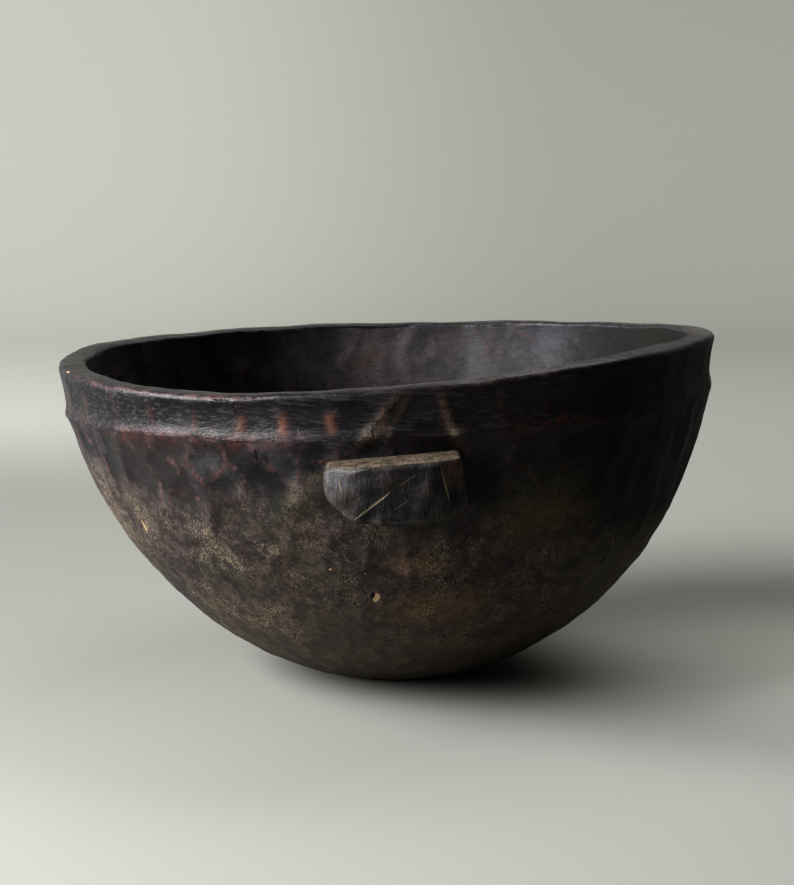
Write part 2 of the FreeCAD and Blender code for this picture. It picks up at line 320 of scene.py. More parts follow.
def hollow_cutting():
    """Broad smooth cuts inside."""
    cuts = Cuts(23, 190, 3.0)
    for along, width, radius in ((235, 34, 155), (200, 32, 150), (165, 33, 138), (130, 32, 120),
                                 (95, 32, 95), (60, 30, 62), (22, 30, 25)):
        cuts.add_row(along, width, 46, radius)
    return cuts


wall_cuts = wall_cutting()
hollow_cuts = hollow_cutting()
slow_waves = waves(3, 90)
mid_waves = waves(5, 34)
fine_waves = waves(9, 9)


def outer_normal(height):
    """Outward radial and vertical parts of the outside's normal."""
    radius = ellipse_radius(OUTER_RADIUS, OUTER_DEPTH, height)
    out = radius / OUTER_RADIUS ** 2
    up = -(EQUATOR - height) / OUTER_DEPTH ** 2
    size = np.hypot(out, up)
    return out / size, up / size


def rubbed(angle):
    """How strongly the ledge and the rim's edge are rubbed to red wood: most at the front left."""
    turn = np.degrees(angle) % 360
    front_left = smooth(212, 224, turn) * smooth(262, 252, turn)
    front_right = 0.55 * smooth(284, 290, turn) * smooth(308, 300, turn)
    elsewhere = 0.22 + 0.12 * np.sin(5 * angle + 0.4) + 0.10 * np.sin(11 * angle)
    return np.clip(np.maximum(np.maximum(front_left, front_right), elsewhere), 0, 1)


def lug_ridges(points):
    """The flat cut over the lug and the ridges at its sides: relief in mm, and dust on the ridges."""
    x, height = points[..., 0], points[..., 2]
    front = smooth(-120, -140, points[..., 1])
    drop = np.clip((168.0 - height) / 21.5, 0, 1.25)
    left = 4.3 - 15.7 * drop
    middle = 8.8 - 10.5 * drop
    right = 22.2 + 7.8 * drop
    reach = smooth(140, 144, height) * smooth(171, 164, height) * front
    inside = smooth(-0.6, 1.2, x - left) * smooth(-0.6, 1.2, right - x) * reach
    left_ridge = bump(x - left, 2.9) * reach
    middle_ridge = bump(x - middle, 1.4) * reach
    right_ridge = bump(x - right, 2.1) * reach
    relief = 0.55 * left_ridge + 0.25 * middle_ridge + 0.55 * right_ridge - 0.55 * inside
    ends = (0.6 * bump(x + 9, 4) + bump(x - 30, 2.5)) * bump(height - 148.5, 3) * front
    dust = np.clip(0.75 * left_ridge + 0.35 * middle_ridge + 0.55 * right_ridge + 0.7 * ends, 0, 1)
    return relief, dust


def dust_fan(points):
    """The dusty ridge that runs down and to the left from the lug's left root."""
    x, height = points[..., 0], points[..., 2]
    along = np.clip((-29.6 - x) / 17.5, -0.4, 1.3)
    centre = 133.0 - 21.4 * along
    spread = 4.5 + 5.5 * np.clip(along, 0, 1)
    mask = bump(height - centre, spread) * smooth(-1.3, -0.9, -along) * smooth(-0.35, 0.0, along)
    return 0.7 * mask * smooth(-120, -135, points[..., 1])


def wall_outside():
    """The wall's outside from the base's edge to the ledge, and the values that its wood needs."""
    rows = 106
    first_turn = math.asin(BASE_RADIUS / OUTER_RADIUS)
    share = np.linspace(0, 1, rows)[:, None]
    last_turn = np.arccos((EQUATOR - ledge_height(ANGLES)) / OUTER_DEPTH)[None, :]
    turn = first_turn + share * (last_turn - first_turn)
    radius = OUTER_RADIUS * np.sin(turn)
    height = EQUATOR - OUTER_DEPTH * np.cos(turn)
    angle = np.broadcast_to(ANGLES[None, :], radius.shape)
    points = place(radius, angle, height)
    along = (turn - first_turn) * OUTSIDE_ARC
    depth, arris, tone = wall_cuts.carve(points, angle, along)
    to_ledge = ledge_height(angle) - height
    soften = smooth(0, 9, to_ledge) * smooth(0, 14, along)
    ledge = bump(to_ledge, 4.5)
    relief, ridge_dust = lug_ridges(points)
    move = (-1.1 * depth * soften + 0.12 * mid_waves(points) * soften + 0.45 * slow_waves(points) * share
            + 0.06 * fine_waves(points) + 1.1 * ledge + relief)
    move = move * smooth(-2, 10, along)
    out, up = outer_normal(height)
    points = place(radius + move * out, angle, height + move * up)
    dust = np.maximum(ridge_dust, dust_fan(points))
    return points, {"arris": arris * soften, "ledge": ledge * rubbed(angle), "dust": dust, "tone": tone}


def band_cuts(points, angle, share):
    """The band's upright flat cuts: how hollow each point is, its worn strip, its nearness to an arris."""
    hollow = np.zeros(angle.shape)
    strip = np.zeros(angle.shape)
    near_arris = np.zeros(angle.shape)
    wander = 0.35 * fine_waves(points)
    tall = smooth(0.08, 0.22, share) * smooth(0.74, 0.5, share)
    for index, (start, strength) in enumerate(BAND_ARRISES):
        end = BAND_ARRISES[(index + 1) % len(BAND_ARRISES)][0]
        width = (end - start) % (2 * math.pi)
        part = ((angle - start) % (2 * math.pi)) / width
        hollow += np.where(part < 1, 4 * part * (1 - part), 0)
        gap = turn_gap(angle, start) * OUTER_RADIUS
        strip = np.maximum(strip, strength * bump(gap + wander, 2.3) * tall)
        near_arris = np.maximum(near_arris, bump(gap, 1.8))
    return hollow, strip, near_arris


def band_outside():
    """The band's outside from the ledge to just under the rim."""
    rows = 20
    share = np.linspace(0, 1, rows)[:, None]
    low = ledge_height(ANGLES)[None, :]
    high = rim_height(ANGLES)[None, :] - RIM_OUTER_ROUND
    height = low + share * (high - low)
    radius = ellipse_radius(OUTER_RADIUS, OUTER_DEPTH, height)
    angle = np.broadcast_to(ANGLES[None, :], radius.shape)
    points = place(radius, angle, height)
    hollow, strip, near_arris = band_cuts(points, angle, share)
    cove = np.sin(math.pi * np.clip((share - 0.08) / 0.84, 0, 1))
    ledge = bump(height - low, 3.2)
    relief, dust = lug_ridges(points)
    fade = smooth(0.0, 0.25, share) * smooth(1.0, 0.8, share)
    move = (-0.55 * hollow * fade - 0.9 * cove + 0.7 * slow_waves(points) + 0.25 * mid_waves(points) * fade
            + 0.07 * fine_waves(points) + 1.1 * ledge + relief)
    out, up = outer_normal(height)
    points = place(radius + move * out, angle, height + move * up)
    return points, {"arris": near_arris * fade, "ledge": ledge * rubbed(angle), "dust": dust, "strip": strip}


def rim_top(outer_edge, inner_edge):
    """The rim's top face with both its worn edges, between the last outer ring and the first inner ring."""
    angle = ANGLES
    top = rim_height(angle)
    outer_round = RIM_OUTER_ROUND + 0.35 * np.sin(9 * angle + 1.0)
    inner_round = RIM_INNER_ROUND + 0.3 * np.sin(13 * angle)
    rings = []
    for turn in np.radians([18, 38, 58, 78]):
        radius = outer_edge - outer_round * (1 - np.cos(turn))
        rings.append((radius, top - outer_round * (1 - np.sin(turn))))
    for share in np.linspace(0.06, 0.94, 7):
        radius = (outer_edge - outer_round) * (1 - share) + (inner_edge + inner_round) * share
        rings.append((radius, top + 0.25 * math.sin(math.pi * share)))
    for turn in np.radians([72, 50, 28, 8]):
        radius = inner_edge + inner_round * (1 - np.cos(turn))
        rings.append((radius, top - inner_round * (1 - np.sin(turn))))
    radius = np.array([ring[0] for ring in rings])
    height = np.array([ring[1] for ring in rings])
    grid_angle = np.broadcast_to(angle[None, :], radius.shape)
    points = place(radius, grid_angle, height)
    height = height + 0.07 * fine_waves(points) + 0.12 * mid_waves(points)
    return place(radius, grid_angle, height)


def hollow_side(start_height, end_turn, rows):
    """Rings down the inside, from a height at each angle to a turn from straight down, and their radii."""
    start_turn = np.arccos(np.clip((EQUATOR - start_height) / INNER_DEPTH, -1, 1))[None, :]
    share = np.linspace(0, 1, rows)[:, None]
    turn = start_turn * (1 - share) + end_turn * share
    radius = INNER_RADIUS * np.sin(turn)
    height = EQUATOR - INNER_DEPTH * np.cos(turn)
    angle = np.broadcast_to(ANGLES[None, :], radius.shape)
    points = place(radius, angle, height)
    along = turn * HOLLOW_ARC
    depth, arris, _ = hollow_cuts.carve(points, angle, along)
    move = 0.9 * depth - 0.2 * mid_waves(points) - 0.03 * fine_waves(points)
    move = move * smooth(0, 40, along)
    radius = radius + move * np.sin(turn)
    return place(radius, angle, height - move * np.cos(turn)), radius, {"arris": arris}


# ------------------------------------------------------------------------------------------ pieces

def bowl_wall_piece(materials):
    """Base, floor and wall, up to the ledge."""
    shell = Shell()
    disc_radii = np.array([3.0, 10.0, 18.0, 26.0, 33.0, 38.0])
    angle = np.broadcast_to(ANGLES[None, :], (len(disc_radii), SEGMENTS))
    shell.add(place(disc_radii[:, None] + 0 * angle, angle, 0 * angle), arris=0.3)
    outside, values = wall_outside()
    shell.add(outside, **values)
    seam_outer = shell.total() - 1
    inside, _, values = hollow_side(ledge_height(ANGLES), 0.02, 50)
    shell.add(inside, **values)
    seam_inner = seam_outer + 1
    return make_piece("carved_wall", shell, False, (seam_outer, seam_inner), materials,
                      lambda ring: (ring >= seam_inner).astype(np.int32))


def top_edge_radius(ring):
    """Radius of the band's uppermost ring, which the rim's rounding starts from."""
    height = rim_height(ANGLES) - RIM_OUTER_ROUND
    radius = ellipse_radius(OUTER_RADIUS, OUTER_DEPTH, height)
    moved = ring - place(radius, ANGLES, height)
    return radius + moved[..., 0] * np.cos(ANGLES) + moved[..., 1] * np.sin(ANGLES)


def rim_band_piece(materials):
    """The band and the rim's top, with the top of the hollow."""
    shell = Shell()
    outside, values = band_outside()
    shell.add(outside, **values)
    end_turn = np.arccos((EQUATOR - ledge_height(ANGLES)) / INNER_DEPTH)
    inside, radii, inside_values = hollow_side(rim_height(ANGLES) - RIM_INNER_ROUND, end_turn, 14)
    top = rim_top(top_edge_radius(outside[-1]), radii[0])
    edge = np.zeros(top.shape[:2])
    edge[:4] = np.array([0.7, 1.0, 1.0, 0.5])[:, None] * rubbed(ANGLES + 0.1)[None, :]
    flat = np.zeros(top.shape[:2])
    flat[4:-4] = 1.0
    shell.add(top, edge=edge, top=flat)
    shell.add(inside, **inside_values)
    seam_outer = 0
    seam_inner = shell.total() - 1
    first_inner = len(outside) + len(top)
    return make_piece("rim_ring", shell, True, (seam_outer, seam_inner), materials,
                      lambda ring: ((ring >= first_inner - 1) & (ring < seam_inner)).astype(np.int32))


# Corners of the lug's face as the carver left it, from the middle of the lug, and how round each is.
LUG_CORNERS = ((-31.8, 8.8, 5.0), (-31.0, -5.0, 11.0), (-18.5, -15.2, 9.0), (2.0, -17.0, 22.0),
               (24.0, -13.6, 9.0), (33.2, -8.8, 4.5), (30.0, 14.2, 2.6), (0.0, 12.2, 30.0))
LUG_SIDE_ROWS = 34
LUG_EDGE_ROWS = 6


def rounded_outline(corners, count):
    """Points evenly spaced round a polygon with arcs at its corners, anticlockwise from the first corner."""
    path = []
    total = len(corners)
    for index in range(total):
        x, z, wanted = corners[index]
        here = np.array([x, z])
        before = np.array(corners[index - 1][:2])
        after = np.array(corners[(index + 1) % total][:2])
        back = before - here
        ahead = after - here
        limit = 0.48 * min(np.linalg.norm(back), np.linalg.norm(ahead))
        back_way = back / np.linalg.norm(back)
        ahead_way = ahead / np.linalg.norm(ahead)
        half_turn = 0.5 * math.acos(np.clip(back_way @ ahead_way, -1, 1))
        trim = min(limit, wanted / math.tan(half_turn))
        start, end = here + back_way * trim, here + ahead_way * trim
        for part in np.linspace(0, 1, 12):
            path.append((1 - part) ** 2 * start + 2 * part * (1 - part) * here + part ** 2 * end)
    path = np.array(path + [path[0]])
    steps = np.concatenate([[0], np.cumsum(np.linalg.norm(np.diff(path, axis=0), axis=1))])
    wanted = np.linspace(0, steps[-1], count, endpoint=False)
    return np.stack([np.interp(wanted, steps, path[:, axis]) for axis in (0, 1)], axis=-1)


def outline_normals(outline):
    """Unit vectors that point out of a closed outline, at each of its points."""
    tangent = np.roll(outline, -1, axis=0) - np.roll(outline, 1, axis=0)
    outward = np.stack([-tangent[:, 1], tangent[:, 0]], axis=-1)
    outward /= np.linalg.norm(outward, axis=1)[:, None]
    return -outward if (outward * outline).sum() < 0 else outward


def lug_rings(outline, outward):
    """The lug's rings before it is shaped: along its sides, round the face's edge and over the face."""
    rings = [(outline, reach) for reach in np.linspace(LUG_ROOT, LUG_FACE - LUG_EDGE_ROUND, LUG_SIDE_ROWS)]
    for angle in np.radians(np.linspace(15, 90, LUG_EDGE_ROWS)):
        rings.append((outline - outward * LUG_EDGE_ROUND * (1 - np.cos(angle)),
                      LUG_FACE - LUG_EDGE_ROUND + LUG_EDGE_ROUND * np.sin(angle)))
    face = outline - outward * LUG_EDGE_ROUND
    middle = face.mean(axis=0)
    rings += [(middle + (face - middle) * share, LUG_FACE) for share in np.linspace(0.96, 0.03, 26)]
    x = np.array([ring[0][:, 0] for ring in rings])
    z = np.array([ring[0][:, 1] for ring in rings])
    reach = np.array([np.full(len(outline), float(ring[1])) for ring in rings])
    return x, z, reach


def lug_piece(name, turn, seed, materials):
    """A blocky grip lug. It is sunk in the wall, and its root flares where it meets the wall."""
    outline = rounded_outline(LUG_CORNERS, 300)
    outward = outline_normals(outline)
    x, z, reach = lug_rings(outline, outward)
    # the face falls back to both ends, in two bevels, and a little towards its lower edge
    fall = (0.34 * soft_ramp(-22 - x + 0.15 * z, 4.0) + 0.25 * soft_ramp(x - 21 - 0.1 * z, 3.0)
            + 0.05 * soft_ramp(-z, 4.0) + 0.0045 * x ** 2)
    share_out = smooth(160, LUG_FACE - LUG_EDGE_ROUND, reach)
    y = -(reach - fall * share_out)
    wall_radius = ellipse_radius(OUTER_RADIUS, OUTER_DEPTH, LUG_HEIGHT + z)
    wall_here = np.sqrt(np.clip(wall_radius ** 2 - x ** 2, 1, None))
    off_wall = np.clip(-y - wall_here, 0, None)
    flare = 1.6 * np.clip(1 - off_wall / 5.0, 0, 1) ** 2 * smooth(0.5, -0.5, outward[None, :, 1])
    x = x + flare * outward[None, :, 0]
    z = z + flare * outward[None, :, 1]
    points = np.stack([x + LUG_OFFSET, y, z + LUG_HEIGHT], axis=-1)
    wobble = waves(seed, 11)
    slow = waves(seed + 1, 26)
    points[..., 1] -= (0.22 * wobble(points) + 0.4 * slow(points)) * share_out
    points[..., 2] += 0.22 * wobble(points + 40) * share_out
    sharpness = np.zeros(reach.shape)
    first_face_row = LUG_SIDE_ROWS + LUG_EDGE_ROWS
    sharpness[LUG_SIDE_ROWS - 2:first_face_row + 1] = 0.5
    sharpness[LUG_SIDE_ROWS - 1:first_face_row] = 1.0
    spin = math.radians(turn)
    across = points[..., 0] * math.cos(spin) - points[..., 1] * math.sin(spin)
    deep = points[..., 0] * math.sin(spin) + points[..., 1] * math.cos(spin)
    points = np.stack([across, deep, points[..., 2]], axis=-1)
    shell = Shell()
    top_side = smooth(0.5, 0.9, np.broadcast_to(outward[None, :, 1], reach.shape)) * (reach < LUG_FACE - 1)
    shell.add(points, arris=sharpness, dust=top_side, root=np.clip(1 - off_wall / 6.0, 0, 1))
    return make_piece(name, shell, False, (), materials)


# ------------------------------------------------------------------------------------------ shader tools

class Nodes:
    """Short names for the shader nodes that the wood uses."""

    def __init__(self, material):
        self.material = material
        material.use_nodes = True
        self.tree = material.node_tree
        self.tree.nodes.clear()
        self.place = self.new("ShaderNodeTexCoord").outputs["Object"]

    def new(self, kind, **settings):
        node = self.tree.nodes.new(kind)
        for key, value in settings.items():
            setattr(node, key, value)
        return node

    def feed(self, socket, value):
        """Links an output to a socket, or sets a plain value on it."""
        if isinstance(value, bpy.types.NodeSocket):
            self.tree.links.new(value, socket)
        else:
            socket.default_value = value

    def math(self, operation, first, second=0.0, clamp=False):
        node = self.new("ShaderNodeMath", operation=operation, use_clamp=clamp)
        self.feed(node.inputs[0], first)
        self.feed(node.inputs[1], second)
        return node.outputs[0]

    def vector(self, operation, first, second=(0, 0, 0)):
        node = self.new("ShaderNodeVectorMath", operation=operation)
        self.feed(node.inputs[0], first)
        self.feed(node.inputs[1], second)
        return node

    def value(self, name):
        """A value kept at the mesh's points."""
        return self.new("ShaderNodeAttribute", attribute_name=name).outputs["Fac"]

    def stretch(self, scale, turn=(0, 0, 0)):
        """Object coordinates turned and then scaled, in features per metre."""
        node = self.new("ShaderNodeMapping")
        self.feed(node.inputs["Vector"], self.place)
        node.inputs["Rotation"].default_value = [math.radians(a) for a in turn]
        node.inputs["Scale"].default_value = scale
        return node.outputs[0]

    def noise(self, scale, detail, roughness, where=None):
        node = self.new("ShaderNodeTexNoise")
        self.feed(node.inputs["Vector"], self.place if where is None else where)
        node.inputs["Scale"].default_value = scale
        node.inputs["Detail"].default_value = detail
        node.inputs["Roughness"].default_value = roughness
        return node.outputs["Fac"]

    def cell_edges(self, scale, where):
        """How near each point is to the edge of a Voronoi cell: 0 on an edge."""
        node = self.new("ShaderNodeTexVoronoi", feature="DISTANCE_TO_EDGE")
        self.feed(node.inputs["Vector"], where)
        node.inputs["Scale"].default_value = scale
        return node.outputs["Distance"]

    def span(self, value, low, high, start=0.0, end=1.0):
        """A smooth step of value from low to high, onto start to end."""
        node = self.new("ShaderNodeMapRange", interpolation_type="SMOOTHSTEP")
        self.feed(node.inputs["Value"], value)
        for name, number in (("From Min", low), ("From Max", high), ("To Min", start), ("To Max", end)):
            node.inputs[name].default_value = number
        return node.outputs[0]

    def blend(self, factor, first, second):
        """A colour mix. Colours are linear red, green, blue."""
        node = self.new("ShaderNodeMix", data_type="RGBA")
        self.feed(node.inputs["Factor"], factor)
        for socket, value in ((node.inputs[6], first), (node.inputs[7], second)):
            self.feed(socket, value if isinstance(value, bpy.types.NodeSocket) else (*value, 1.0))
        return node.outputs[2]

    def both(self, first, second):
        return self.math("MULTIPLY", first, second)

    def most(self, first, second):
        return self.math("MAXIMUM", first, second)

    def rest(self, value):
        return self.math("SUBTRACT", 1.0, value)

    def total(self, *terms, clamp=False):
        """The sum of two or more terms. A term is a value, or a value with its weight."""
        parts = [self.both(*term) if isinstance(term, tuple) else term for term in terms]
        result = parts[0]
        for part in parts[1:-1]:
            result = self.math("ADD", result, part)
        return self.math("ADD", result, parts[-1], clamp=clamp)

    def tint(self, colour, mask, strength, over):
        """Lays the colour over on another one where mask is 1, at a strength from 0 to 1."""
        return self.blend(self.both(mask, strength), colour, over)

    def split(self):
        """The X, Y and Z of object coordinates, in metres."""
        node = self.new("ShaderNodeSeparateXYZ")
        self.feed(node.inputs[0], self.place)
        return node.outputs[0], node.outputs[1], node.outputs[2]

    def shaken(self, scale, reach, middle):
        """Object coordinates moved by noise times reach in mm. Noise at middle moves nothing."""
        shift = self.new("ShaderNodeTexNoise")
        self.feed(shift.inputs["Vector"], self.place)
        shift.inputs["Scale"].default_value = scale
        shift.inputs["Detail"].default_value = 2.0
        less = self.vector("SUBTRACT", shift.outputs["Color"], (middle, middle, middle)).outputs[0]
        scaled = self.vector("MULTIPLY", less, (reach * MM, reach * MM, reach * MM)).outputs[0]
        return self.vector("ADD", self.place, scaled).outputs[0]

    def spot(self, centre, size, turn=(0, 0, 0), ragged=0.0, edge=0.35):
        """1 inside an ellipsoid with its centre and half sizes in mm, 0 outside, turned by degrees."""
        node = self.new("ShaderNodeMapping", vector_type="TEXTURE")
        self.feed(node.inputs["Vector"], self.shaken(450.0, ragged, 0.5) if ragged else self.place)
        node.inputs["Location"].default_value = [c * MM for c in centre]
        node.inputs["Rotation"].default_value = [math.radians(a) for a in turn]
        node.inputs["Scale"].default_value = [c * MM for c in size]
        distance = self.vector("LENGTH", node.outputs[0]).outputs["Value"]
        return self.span(distance, 1.0, 1.0 - edge)

    def bumps(self, layers):
        """Bump nodes one after another. Each layer is a height and the distance in mm that it stands for."""
        normal = None
        for height, distance in layers:
            node = self.new("ShaderNodeBump")
            node.inputs["Strength"].default_value = 1.0
            node.inputs["Distance"].default_value = distance * MM
            self.feed(node.inputs["Height"], height)
            if normal is not None:
                self.feed(node.inputs["Normal"], normal)
            normal = node.outputs[0]
        return normal

    def finish(self, colour, roughness, normal, specular=0.2):
        shader = self.new("ShaderNodeBsdfPrincipled")
        self.feed(shader.inputs["Base Color"], colour)
        self.feed(shader.inputs["Roughness"], roughness)
        self.feed(shader.inputs["Normal"], normal)
        shader.inputs["Specular IOR Level"].default_value = specular
        output = self.new("ShaderNodeOutputMaterial")
        self.feed(output.inputs["Surface"], shader.outputs[0])


# Linear colours of the aged wood.
COAL = (0.0088, 0.0088, 0.0108)         # smoke-black patina with a bluish cast
UMBER = (0.0180, 0.0152, 0.0152)        # brown-black where the patina is thinner
FILM = (0.0500, 0.0455, 0.0485)         # grey film in the grain and on rubbed places
THIN_PATINA = (0.038, 0.022, 0.020)     # reddish wood that shows through the patina
EARTH = (0.0600, 0.0470, 0.0370)        # brown lower body
MAUVE = (0.0420, 0.0300, 0.0300)        # mauve-brown lower body
MOSS = (0.0400, 0.0385, 0.0280)         # olive-grey lower body
PALE_CUT = (0.066, 0.052, 0.042)        # cuts that were rubbed paler
PALE_EARTH = (0.112, 0.089, 0.064)      # the lower body's front, towards the base
DIRT = (0.0130, 0.0105, 0.0105)         # dirt in the lower body's arrises
GRIME = (0.0170, 0.0140, 0.0140)        # dark blotches on the lower body
FLECK = (0.088, 0.066, 0.050)
WARM_EARTH = (0.142, 0.085, 0.048)      # orange-tan patches under the lug
GREY_SCRATCH = (0.150, 0.122, 0.112)
TAN_SCRATCH = (0.205, 0.160, 0.115)
FOOT_BAND = (0.050, 0.040, 0.031)       # bands round the foot
RUST = (0.082, 0.030, 0.024)            # red-brown wood on worn arrises
DARK_RED = (0.070, 0.014, 0.012)        # the red patch over the ledge at the front right
OCHRE = (0.112, 0.053, 0.037)           # orange-brown bare wood
ROSE = (0.120, 0.066, 0.066)            # pinkish rubbed ledge
WORN_EDGE = (0.065, 0.032, 0.032)       # the rim's outer edge
TOP_FILM = (0.066, 0.056, 0.042)        # brownish film on the rim's top
DUST = (0.185, 0.142, 0.095)            # tan dust
OLIVE = (0.085, 0.068, 0.033)           # brown-olive dust
CHIP = (0.30, 0.215, 0.130)             # fresh chips
VOID_AND_PAINTED_SHADOW = (0.0035, 0.0032, 0.0035)         # pores and cracks, and also the painted shadow to the right of the lug
PAINTED_SHADE = (0.0042, 0.0042, 0.0040)         # painted shade: dull black on the front right of the wall and band, the side turned from the light
HOLLOW_UMBER = (0.0185, 0.0150, 0.0145)
HOLLOW_PAINTED_LIGHT = (0.064, 0.055, 0.055)     # painted light: lighter grey-brown at the back of the hollow, where the light falls
HOLLOW_RUST = (0.062, 0.029, 0.024)     # arrises in the hollow
HOLLOW_BROWN = (0.050, 0.027, 0.022)    # brown patches in the hollow
HOLLOW_SPECK = (0.085, 0.066, 0.046)
# painted shade for the hollow's right side
HOLLOW_PAINTED_SHADE = (0.0085, 0.0078, 0.0062)
LUG_EDGE = (0.060, 0.048, 0.040)
LUG_SCRATCH = (0.066, 0.056, 0.045)
LUG_CORNER = (0.095, 0.056, 0.040)      # the lug's worn upper right corner
LUG_ROOT_DUST = (0.110, 0.082, 0.052)
LUG_CUT = (0.140, 0.110, 0.070)         # long pale cuts in the lug's face

PAINTED_SHADE_CENTRE = (150, -95, 140)           # where the painted shade lies
PAINTED_SHADE_SIZE = (118, 130, 78)


def grain_fields(n):
    """The wood's grain, which runs along X through the block: long fibres and fine pores."""
    fibres = n.noise(1.0, 4.0, 0.6, n.stretch((26, 420, 620)))
    pores = n.noise(1.0, 2.0, 0.6, n.stretch((130, 1300, 1900)))
    return fibres, pores


def straight_scratches(n):
    """Fine short scratches in several directions: 1 on a scratch."""
    masks = []
    for turn in ((0, 8, 0), (0, 38, 0), (0, -27, 0), (10, 74, 0)):
        lines = n.noise(1.0, 0.0, 0.5, n.stretch((2100, 900, 210), turn))
        masks.append(n.span(lines, 0.66, 0.74))
    return functools.reduce(n.most, masks)


def curly_scratches(n):
    """Two broken nets of thin curved scratches, one coarser than the other: 1 on a scratch."""
    bent = n.shaken(260.0, 6.0, 0.0)
    gaps = n.noise(430, 3.0, 0.7)
    coarse = n.span(n.cell_edges(190, bent), 0.045, 0.018)
    fine = n.span(n.cell_edges(390, bent), 0.075, 0.025)
    return n.most(n.both(coarse, n.span(gaps, 0.46, 0.53)), n.both(fine, n.span(gaps, 0.53, 0.60)))


def add_marks(n, colour, chips, cracks):
    """Lays pale chips and black cracks over a colour, and gives how deep each point lies in them."""
    pits = []
    for marks, tint in ((chips, CHIP), (cracks, VOID_AND_PAINTED_SHADOW)):
        for centre, size, turn in marks:
            pits.append(n.spot(centre, size, turn, ragged=1.0))
            colour = n.blend(pits[-1], colour, tint)
    return colour, functools.reduce(n.most, pits)


def painted_shade_and_ledge(n, colour, patch, small):
    """Painted shade, dull black on the front right that is turned from the light, and over it the ledge,
    rubbed pinkish and dark red.
    """
    # painted shade: the front right of the wall and band is darkened because it faces away from the light
    painted_shade_mask = n.spot(PAINTED_SHADE_CENTRE, PAINTED_SHADE_SIZE, ragged=14, edge=0.55)
    colour = n.tint(colour, painted_shade_mask, 0.88, PAINTED_SHADE)
    ledge = n.both(n.value("ledge"), n.span(small, 0.38, 0.60, 0.15, 1.0))
    rubbed_wood = n.blend(n.span(patch, 0.42, 0.60), RUST, ROSE)
    return n.tint(colour, ledge, 0.50, rubbed_wood), painted_shade_mask


def dust_cover(n, fuzz, small, full):
    """Where dust lies on the ridges, broken up by noise. Above the noise level full it covers all."""
    return n.both(n.value("dust"), n.span(n.total((fuzz, 0.55), (small, 0.45)), 0.38, full))


def band_wood():
    """The band and the rim's top: smooth dark patina with the grain running along it."""
    n = Nodes(bpy.data.materials.new("band_wood"))
    fibres, pores = grain_fields(n)
    broad = n.noise(16, 3, 0.5)
    patch = n.noise(60, 4, 0.62)
    small = n.noise(210, 4, 0.65)
    fuzz = n.noise(850, 3, 0.7)
    curly = curly_scratches(n)

    colour = n.blend(n.span(broad, 0.40, 0.62), COAL, UMBER)
    colour = n.tint(colour, n.span(fibres, 0.47, 0.68), 0.68, FILM)
    colour = n.tint(colour, n.span(patch, 0.60, 0.74), 0.45, THIN_PATINA)
    colour = n.tint(colour, n.span(pores, 0.56, 0.66), 0.70, VOID_AND_PAINTED_SHADOW)
    colour = n.tint(colour, n.both(n.value("arris"), n.span(small, 0.42, 0.62)), 0.30, RUST)
    # painted shade on the band's front right, which is turned from the light
    colour, painted_shade_mask = painted_shade_and_ledge(n, colour, patch, small)
    red = n.both(n.spot((80, -151, 151.5), (19, 22, 5), ragged=8, edge=0.9), n.span(small, 0.36, 0.56))
    colour = n.tint(colour, red, 0.75, DARK_RED)
    edge = n.both(n.value("edge"), n.span(small, 0.36, 0.60, 0.15, 1.0))
    colour = n.tint(colour, edge, 0.55, n.blend(n.span(patch, 0.45, 0.60), WORN_EDGE, ROSE))
    top = n.both(n.value("top"), n.span(n.total((small, 0.5), (patch, 0.5)), 0.40, 0.60))
    colour = n.tint(colour, top, 0.30, TOP_FILM)
    strip = n.both(n.value("strip"), n.span(small, 0.30, 0.55, 0.45, 1.0))
    colour = n.tint(colour, strip, 0.80, OCHRE)
    dust = dust_cover(n, fuzz, small, 0.60)
    colour = n.tint(colour, dust, 0.62, DUST)
    colour = n.tint(colour, n.both(curly, n.span(small, 0.55, 0.68)), 0.30, DUST)
    colour, pits = add_marks(n, colour, RIM_CHIPS, BAND_CRACKS)

    patina_roughness = n.span(patch, 0.3, 0.7, 0.30, 0.46)
    # the painted shade at the front right is made rougher as well
    roughness = n.total(patina_roughness, (dust, 0.30), (n.value("edge"), -0.14), (painted_shade_mask, 0.30), clamp=True)
    normal = n.bumps([
        (patch, 0.45),
        (n.total(fibres, (pores, -0.5)), 0.40),
        (n.total(fuzz, (curly, 0.4)), 0.07),
        (n.both(pits, -1.0), 0.5),
    ])
    n.finish(colour, roughness, normal)
    return n.material


def upper_patina(n, broad, patch, small, low):
    """Smoke-black patina with grey film, and arrises worn to red wood above the lower body."""
    colour = n.blend(n.span(broad, 0.40, 0.62), COAL, UMBER)
    colour = n.tint(colour, n.span(patch, 0.48, 0.66), 0.55, FILM)
    arris = n.both(n.value("arris"), n.span(n.total((patch, 0.6), (small, 0.4)), 0.42, 0.54))
    worn = n.blend(n.span(small, 0.42, 0.60), RUST, ROSE)
    return n.tint(colour, n.both(arris, n.rest(low)), 0.80, worn)


def lower_ground(n, small, tone):
    """The lower body under its marks: brown, mauve and olive patches, palest at the front of the foot."""
    ground = n.blend(n.span(n.noise(34, 4, 0.65), 0.40, 0.58), MAUVE, EARTH)
    ground = n.blend(n.span(n.noise(29, 3, 0.6), 0.50, 0.64), ground, MOSS)
    ground = n.tint(ground, tone, 0.40, PALE_CUT)
    ground = n.tint(ground, n.value("arris"), 0.45, DIRT)
    ground = n.tint(ground, n.span(small, 0.55, 0.40), 0.58, GRIME)
    return n.tint(ground, n.spot((0, -75, 30), (125, 110, 66), edge=1.0), 0.50, PALE_EARTH)


def wander(n, height, noise, reach):
    """A height in metres that noise moves up and down, so that what ends there ends unevenly."""
    return n.total(height, (n.math("SUBTRACT", noise, 0.5), reach))


